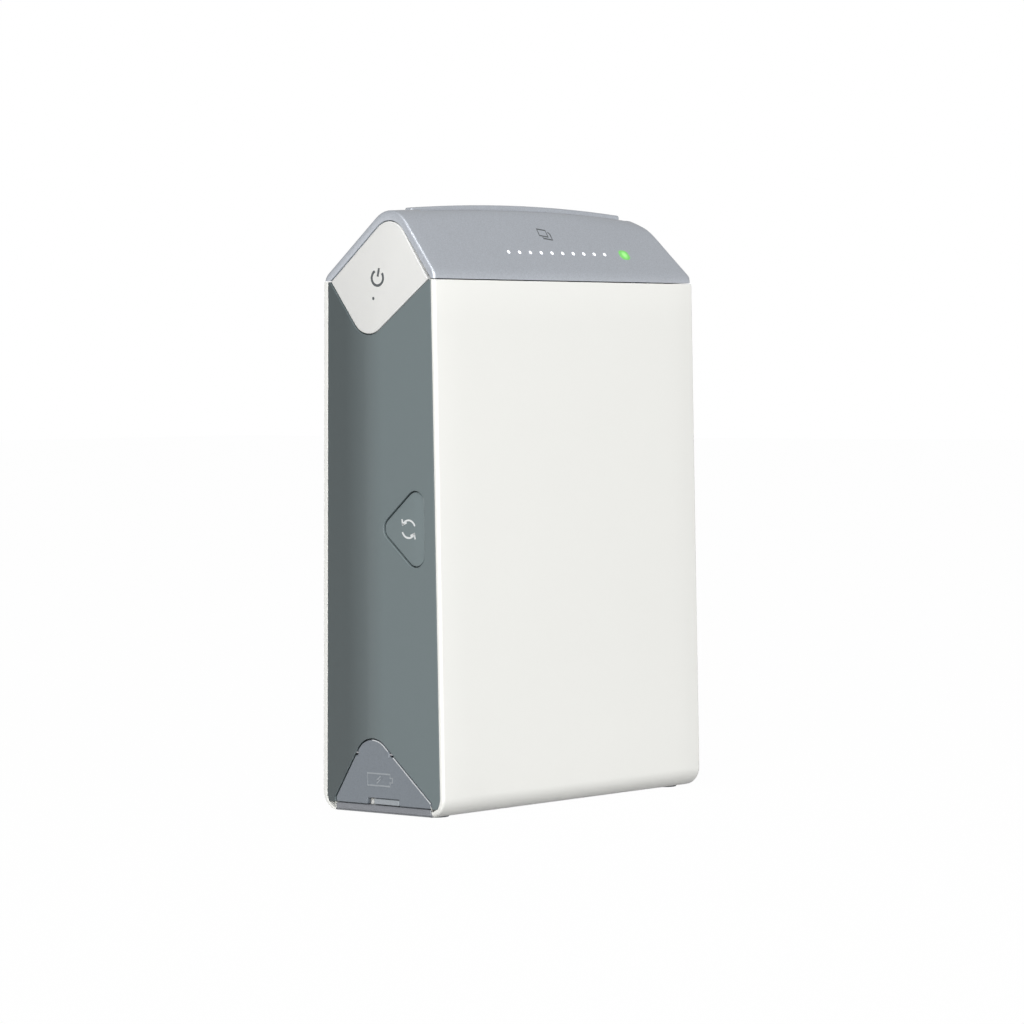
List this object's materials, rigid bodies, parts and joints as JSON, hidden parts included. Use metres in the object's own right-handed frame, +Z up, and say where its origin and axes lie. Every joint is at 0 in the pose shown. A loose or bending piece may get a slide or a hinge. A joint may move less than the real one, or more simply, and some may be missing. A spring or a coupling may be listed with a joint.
{
  "type": "photo printer",
  "caption": "Compact upright instant-film photo printer with a pitched silver roof, a slot along the ridge, two side buttons, a charging flap and a film door.",
  "frame": {"origin": "on the ground, below the middle of the printer with its film door included", "axes": "+Z up, -Y towards the white front, -X towards the side with the two buttons and the charging flap"},
  "size_m": [0.0896, 0.0399, 0.1326],
  "materials": {
    "case_white": "satin moulded white",
    "panel_grey": "fine satin grey",
    "roof_silver": "silver metallic paint on plastic",
    "key_white": "smooth white",
    "key_grey": "fine satin grey",
    "flap_grey": "fine satin blue-grey",
    "base_grey": "satin grey",
    "light_white": "translucent white",
    "light_green": "translucent green",
    "black_plastic": "textured black",
    "smoke_window": "clear smoked plastic",
    "rubber_black": "soft black",
    "rubber_grey": "soft grey",
    "roller_rubber": "ground rubber",
    "steel": "plain steel",
    "steel_bright": "polished steel",
    "spring_steel": "spring steel",
    "brass": "turned brass",
    "gear_white": "acetal",
    "board_green": "solder mask",
    "chip_black": "moulded epoxy",
    "chip_yellow": "phosphor gel",
    "cell_wrap": "foil pouch",
    "flex_amber": "polyimide film",
    "lens_clear": "clear rod lens",
    "film_black": "black cartridge",
    "film_white": "instant film sheet"
  },
  "bodies": {
    "body": {"front_shell": "case_white", "rear_shell": "case_white", "left_panel": "panel_grey", "right_panel": "panel_grey", "top_cap": "roof_silver", "exit_lip": "roof_silver", "base_plate": "base_grey", "rubber_feet": "rubber_grey", "flap_hinge_pin": "steel", "counter_lights": "light_white", "status_light": "light_green", "door_hinge_pins": "steel", "light_seals": "rubber_black", "chassis": "black_plastic", "film_pack": "film_black", "film_sheets": "film_white", "film_guide": "black_plastic", "roller_bushes": "gear_white", "nip_springs": "spring_steel", "gear_plate": "steel", "gear_pins": "steel_bright", "drive_motor": "steel", "claw_spring": "spring_steel", "exposure_head": "black_plastic", "exposure_lens": "lens_clear", "head_flex": "flex_amber", "main_board": "board_green", "board_chips": "chip_black", "battery_cell": "cell_wrap", "usb_socket": "steel_bright", "usb_board": "board_green", "port_bezel": "black_plastic", "led_board": "board_green", "led_chips": "chip_yellow", "switch_board": "board_green", "power_switch": "chip_black", "reprint_switch": "chip_black", "door_switch": "chip_black", "case_screws": "steel", "chassis_screws": "steel"},
    "power_button": {"power_button": "key_white", "power_light_pipe": "light_white"},
    "reprint_button": {"reprint_button": "key_grey"},
    "charge_flap": {"charge_flap": "flap_grey"},
    "flap_lock": {"flap_lock": "roof_silver"},
    "film_door": {"film_door": "case_white", "door_window": "smoke_window", "pack_springs": "spring_steel"},
    "door_lock": {"door_lock": "roof_silver"},
    "drive_roller": {"drive_roller": "roller_rubber", "drive_gear": "gear_white"},
    "pinch_roller": {"pinch_roller": "steel_bright", "pinch_gear": "gear_white"},
    "idler_gear": {"idler_gear": "gear_white"},
    "reduction_gear": {"reduction_gear": "gear_white"},
    "motor_pinion": {"motor_pinion": "brass"},
    "pick_claw": {"pick_claw": "spring_steel"}
  },
  "joints": [
    {"name": "power_press", "type": "slide", "parent": "body", "child": "power_button", "axis": [1, 0, 0], "range_m": [0, 0.0006], "stiffness_N_per_m": 800, "springref_m": -0.0003},
    {"name": "reprint_press", "type": "slide", "parent": "body", "child": "reprint_button", "axis": [1, 0, 0], "range_m": [0, 0.0006], "stiffness_N_per_m": 800, "springref_m": -0.0003},
    {"name": "flap_swing", "type": "hinge", "parent": "body", "child": "charge_flap", "pos_m": [-0.0442, 0, 0.01323], "axis": [0, 1, 0], "range_deg": [0, 95]},
    {"name": "flap_lock_slide", "type": "slide", "parent": "charge_flap", "child": "flap_lock", "axis": [0, 1, 0], "range_m": [0, 0.0018]},
    {"name": "film_door_swing", "type": "hinge", "parent": "body", "child": "film_door", "pos_m": [0, 0.0174, 0.009], "axis": [-1, 0, 0], "range_deg": [0, 90]},
    {"name": "door_lock_slide", "type": "slide", "parent": "film_door", "child": "door_lock", "axis": [0, 0, -1], "range_m": [0, 0.0025]},
    {"name": "drive_roller_spin", "type": "hinge", "parent": "body", "child": "drive_roller", "pos_m": [0, -0.0086, 0.115], "axis": [1, 0, 0], "continuous": true},
    {"name": "pinch_roller_spin", "type": "hinge", "parent": "body", "child": "pinch_roller", "pos_m": [0, -0.0026, 0.115], "axis": [1, 0, 0], "continuous": true},
    {"name": "idler_spin", "type": "hinge", "parent": "body", "child": "idler_gear", "pos_m": [0, -0.0086, 0.1075], "axis": [1, 0, 0], "continuous": true},
    {"name": "reduction_spin", "type": "hinge", "parent": "body", "child": "reduction_gear", "pos_m": [0, -0.0086, 0.1005], "axis": [1, 0, 0], "continuous": true},
    {"name": "motor_spin", "type": "hinge", "parent": "body", "child": "motor_pinion", "pos_m": [0, -0.0124, 0.09234], "axis": [1, 0, 0], "continuous": true},
    {"name": "claw_lift", "type": "slide", "parent": "body", "child": "pick_claw", "axis": [0, 0, 1], "range_m": [0, 0.007], "stiffness_N_per_m": 20, "springref_m": -0.002}
  ],
  "couplings": [
    {"joint": "pinch_roller_spin", "follows": "drive_roller_spin", "ratio": -1},
    {"joint": "idler_spin", "follows": "drive_roller_spin", "ratio": -0.66667},
    {"joint": "reduction_spin", "follows": "drive_roller_spin", "ratio": 1.2},
    {"joint": "motor_spin", "follows": "drive_roller_spin", "ratio": -3.12}
  ]
}
